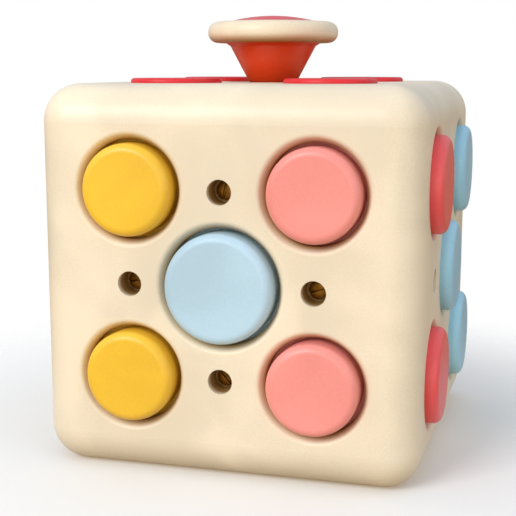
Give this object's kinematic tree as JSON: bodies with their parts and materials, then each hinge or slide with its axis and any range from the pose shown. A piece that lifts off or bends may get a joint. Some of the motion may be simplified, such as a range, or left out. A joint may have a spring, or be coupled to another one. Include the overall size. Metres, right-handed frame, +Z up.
{
  "type": "fidget cube",
  "caption": "Cream desk cube with coloured push buttons on two faces, a tilting thumbstick on top, and dials, a ball, a rocker and a thumb dish on the rest.",
  "frame": {"origin": "centre of the cube's flat underside, where it rests", "axes": "+Z up towards the thumbstick, -Y towards the front face with its five buttons, +X towards the right face with its five buttons"},
  "size_m": [0.0362, 0.0358, 0.039],
  "materials": {
    "cream": "satin moulded ABS, cream",
    "yellow": "satin moulded ABS, warm yellow",
    "coral": "satin moulded ABS, coral pink",
    "pale_blue": "satin moulded ABS, pale blue",
    "sky_blue": "satin moulded ABS, sky blue",
    "red": "satin moulded ABS, warm red",
    "signal_red": "satin moulded ABS, bright red",
    "orange_red": "satin moulded ABS, orange red",
    "dark_nylon": "moulded nylon, near black",
    "bronze": "zinc-yellow plated steel screws, bronze tone",
    "polished_steel": "polished steel",
    "spring_steel": "drawn spring wire"
  },
  "bodies": {
    "housing": {"casing": "cream", "back_cover": "cream", "core_frame": "dark_nylon", "front_screws": "bronze", "side_screws": "bronze", "back_screws": "bronze", "stick_socket": "dark_nylon", "dial_axle": "polished_steel", "dial_cradle": "dark_nylon", "ball_retainer": "dark_nylon", "rocker_bezel": "cream", "rocker_pin": "polished_steel", "rocker_leaf": "spring_steel", "thumb_dish": "pale_blue", "front_spring_middle": "spring_steel", "front_spring_top_left": "spring_steel", "front_spring_top_right": "spring_steel", "front_spring_bottom_left": "spring_steel", "front_spring_bottom_right": "spring_steel", "side_spring_middle": "spring_steel", "side_spring_top_front": "spring_steel", "side_spring_top_rear": "spring_steel", "side_spring_bottom_front": "spring_steel", "side_spring_bottom_rear": "spring_steel", "top_spring_front_left": "spring_steel", "top_spring_front_right": "spring_steel", "top_spring_rear_left": "spring_steel", "top_spring_rear_right": "spring_steel", "centring_spring": "spring_steel"},
    "front_button_middle": {"front_button_middle": "pale_blue"},
    "front_button_top_left": {"front_button_top_left": "yellow"},
    "front_button_top_right": {"front_button_top_right": "coral"},
    "front_button_bottom_left": {"front_button_bottom_left": "yellow"},
    "front_button_bottom_right": {"front_button_bottom_right": "coral"},
    "side_button_middle": {"side_button_middle": "sky_blue"},
    "side_button_top_front": {"side_button_top_front": "red"},
    "side_button_top_rear": {"side_button_top_rear": "sky_blue"},
    "side_button_bottom_front": {"side_button_bottom_front": "red"},
    "side_button_bottom_rear": {"side_button_bottom_rear": "sky_blue"},
    "top_button_front_left": {"top_button_front_left": "signal_red"},
    "top_button_front_right": {"top_button_front_right": "signal_red"},
    "top_button_rear_left": {"top_button_rear_left": "signal_red"},
    "top_button_rear_right": {"top_button_rear_right": "signal_red"},
    "gimbal": {"gimbal_ring": "dark_nylon", "gimbal_pins": "polished_steel"},
    "thumbstick": {"stick_shaft": "polished_steel", "stick_pin": "polished_steel", "stick_boot": "orange_red", "stick_ring": "cream", "stick_insert": "signal_red"},
    "dial_front": {"dial_front": "cream"},
    "dial_middle": {"dial_middle": "cream"},
    "dial_rear": {"dial_rear": "cream"},
    "ball": {"ball": "polished_steel"},
    "rocker": {"rocker": "yellow"}
  },
  "joints": [
    {"name": "front_press_middle", "type": "slide", "parent": "housing", "child": "front_button_middle", "axis": [0, 1, 0], "range_m": [0, 0.001], "stiffness_N_per_m": 400, "springref_m": -0.001, "deforming": ["front_spring_middle"]},
    {"name": "front_press_top_left", "type": "slide", "parent": "housing", "child": "front_button_top_left", "axis": [0, 1, 0], "range_m": [0, 0.001], "stiffness_N_per_m": 400, "springref_m": -0.001, "deforming": ["front_spring_top_left"]},
    {"name": "front_press_top_right", "type": "slide", "parent": "housing", "child": "front_button_top_right", "axis": [0, 1, 0], "range_m": [0, 0.001], "stiffness_N_per_m": 400, "springref_m": -0.001, "deforming": ["front_spring_top_right"]},
    {"name": "front_press_bottom_left", "type": "slide", "parent": "housing", "child": "front_button_bottom_left", "axis": [0, 1, 0], "range_m": [0, 0.001], "stiffness_N_per_m": 400, "springref_m": -0.001, "deforming": ["front_spring_bottom_left"]},
    {"name": "front_press_bottom_right", "type": "slide", "parent": "housing", "child": "front_button_bottom_right", "axis": [0, 1, 0], "range_m": [0, 0.001], "stiffness_N_per_m": 400, "springref_m": -0.001, "deforming": ["front_spring_bottom_right"]},
    {"name": "side_press_middle", "type": "slide", "parent": "housing", "child": "side_button_middle", "axis": [-1, 0, 0], "range_m": [0, 0.001], "stiffness_N_per_m": 400, "springref_m": -0.001, "deforming": ["side_spring_middle"]},
    {"name": "side_press_top_front", "type": "slide", "parent": "housing", "child": "side_button_top_front", "axis": [-1, 0, 0], "range_m": [0, 0.001], "stiffness_N_per_m": 400, "springref_m": -0.001, "deforming": ["side_spring_top_front"]},
    {"name": "side_press_top_rear", "type": "slide", "parent": "housing", "child": "side_button_top_rear", "axis": [-1, 0, 0], "range_m": [0, 0.001], "stiffness_N_per_m": 400, "springref_m": -0.001, "deforming": ["side_spring_top_rear"]},
    {"name": "side_press_bottom_front", "type": "slide", "parent": "housing", "child": "side_button_bottom_front", "axis": [-1, 0, 0], "range_m": [0, 0.001], "stiffness_N_per_m": 400, "springref_m": -0.001, "deforming": ["side_spring_bottom_front"]},
    {"name": "side_press_bottom_rear", "type": "slide", "parent": "housing", "child": "side_button_bottom_rear", "axis": [-1, 0, 0], "range_m": [0, 0.001], "stiffness_N_per_m": 400, "springref_m": -0.001, "deforming": ["side_spring_bottom_rear"]},
    {"name": "top_press_front_left", "type": "slide", "parent": "housing", "child": "top_button_front_left", "axis": [0, 0, -1], "range_m": [0, 0.0006], "stiffness_N_per_m": 400, "springref_m": -0.001, "deforming": ["top_spring_front_left"]},
    {"name": "top_press_front_right", "type": "slide", "parent": "housing", "child": "top_button_front_right", "axis": [0, 0, -1], "range_m": [0, 0.0006], "stiffness_N_per_m": 400, "springref_m": -0.001, "deforming": ["top_spring_front_right"]},
    {"name": "top_press_rear_left", "type": "slide", "parent": "housing", "child": "top_button_rear_left", "axis": [0, 0, -1], "range_m": [0, 0.0006], "stiffness_N_per_m": 400, "springref_m": -0.001, "deforming": ["top_spring_rear_left"]},
    {"name": "top_press_rear_right", "type": "slide", "parent": "housing", "child": "top_button_rear_right", "axis": [0, 0, -1], "range_m": [0, 0.0006], "stiffness_N_per_m": 400, "springref_m": -0.001, "deforming": ["top_spring_rear_right"]},
    {"name": "stick_tilt_front_back", "type": "hinge", "parent": "housing", "child": "gimbal", "pos_m": [0, 0, 0.0284], "axis": [1, 0, 0], "range_deg": [-12, 12], "stiffness_Nm_per_rad": 0.024},
    {"name": "stick_tilt_left_right", "type": "hinge", "parent": "gimbal", "child": "thumbstick", "pos_m": [0, 0, 0.0284], "axis": [0, 1, 0], "range_deg": [-12, 12], "stiffness_Nm_per_rad": 0.024, "deforming": ["centring_spring"]},
    {"name": "dial_front_spin", "type": "hinge", "parent": "housing", "child": "dial_front", "pos_m": [-0.0148, -0.0083, 0.02502], "axis": [0, 1, 0], "continuous": true},
    {"name": "dial_middle_spin", "type": "hinge", "parent": "housing", "child": "dial_middle", "pos_m": [-0.0148, 0, 0.02502], "axis": [0, 1, 0], "continuous": true},
    {"name": "dial_rear_spin", "type": "hinge", "parent": "housing", "child": "dial_rear", "pos_m": [-0.0148, 0.0083, 0.02502], "axis": [0, 1, 0], "continuous": true},
    {"name": "ball_roll", "type": "hinge", "parent": "housing", "child": "ball", "pos_m": [-0.0146, 0, 0.009], "axis": [0, 1, 0], "continuous": true},
    {"name": "rocker_flip", "type": "hinge", "parent": "housing", "child": "rocker", "pos_m": [0, 0.0139, 0.0165], "axis": [1, 0, 0], "range_deg": [0, 18], "deforming": ["rocker_leaf"]}
  ]
}
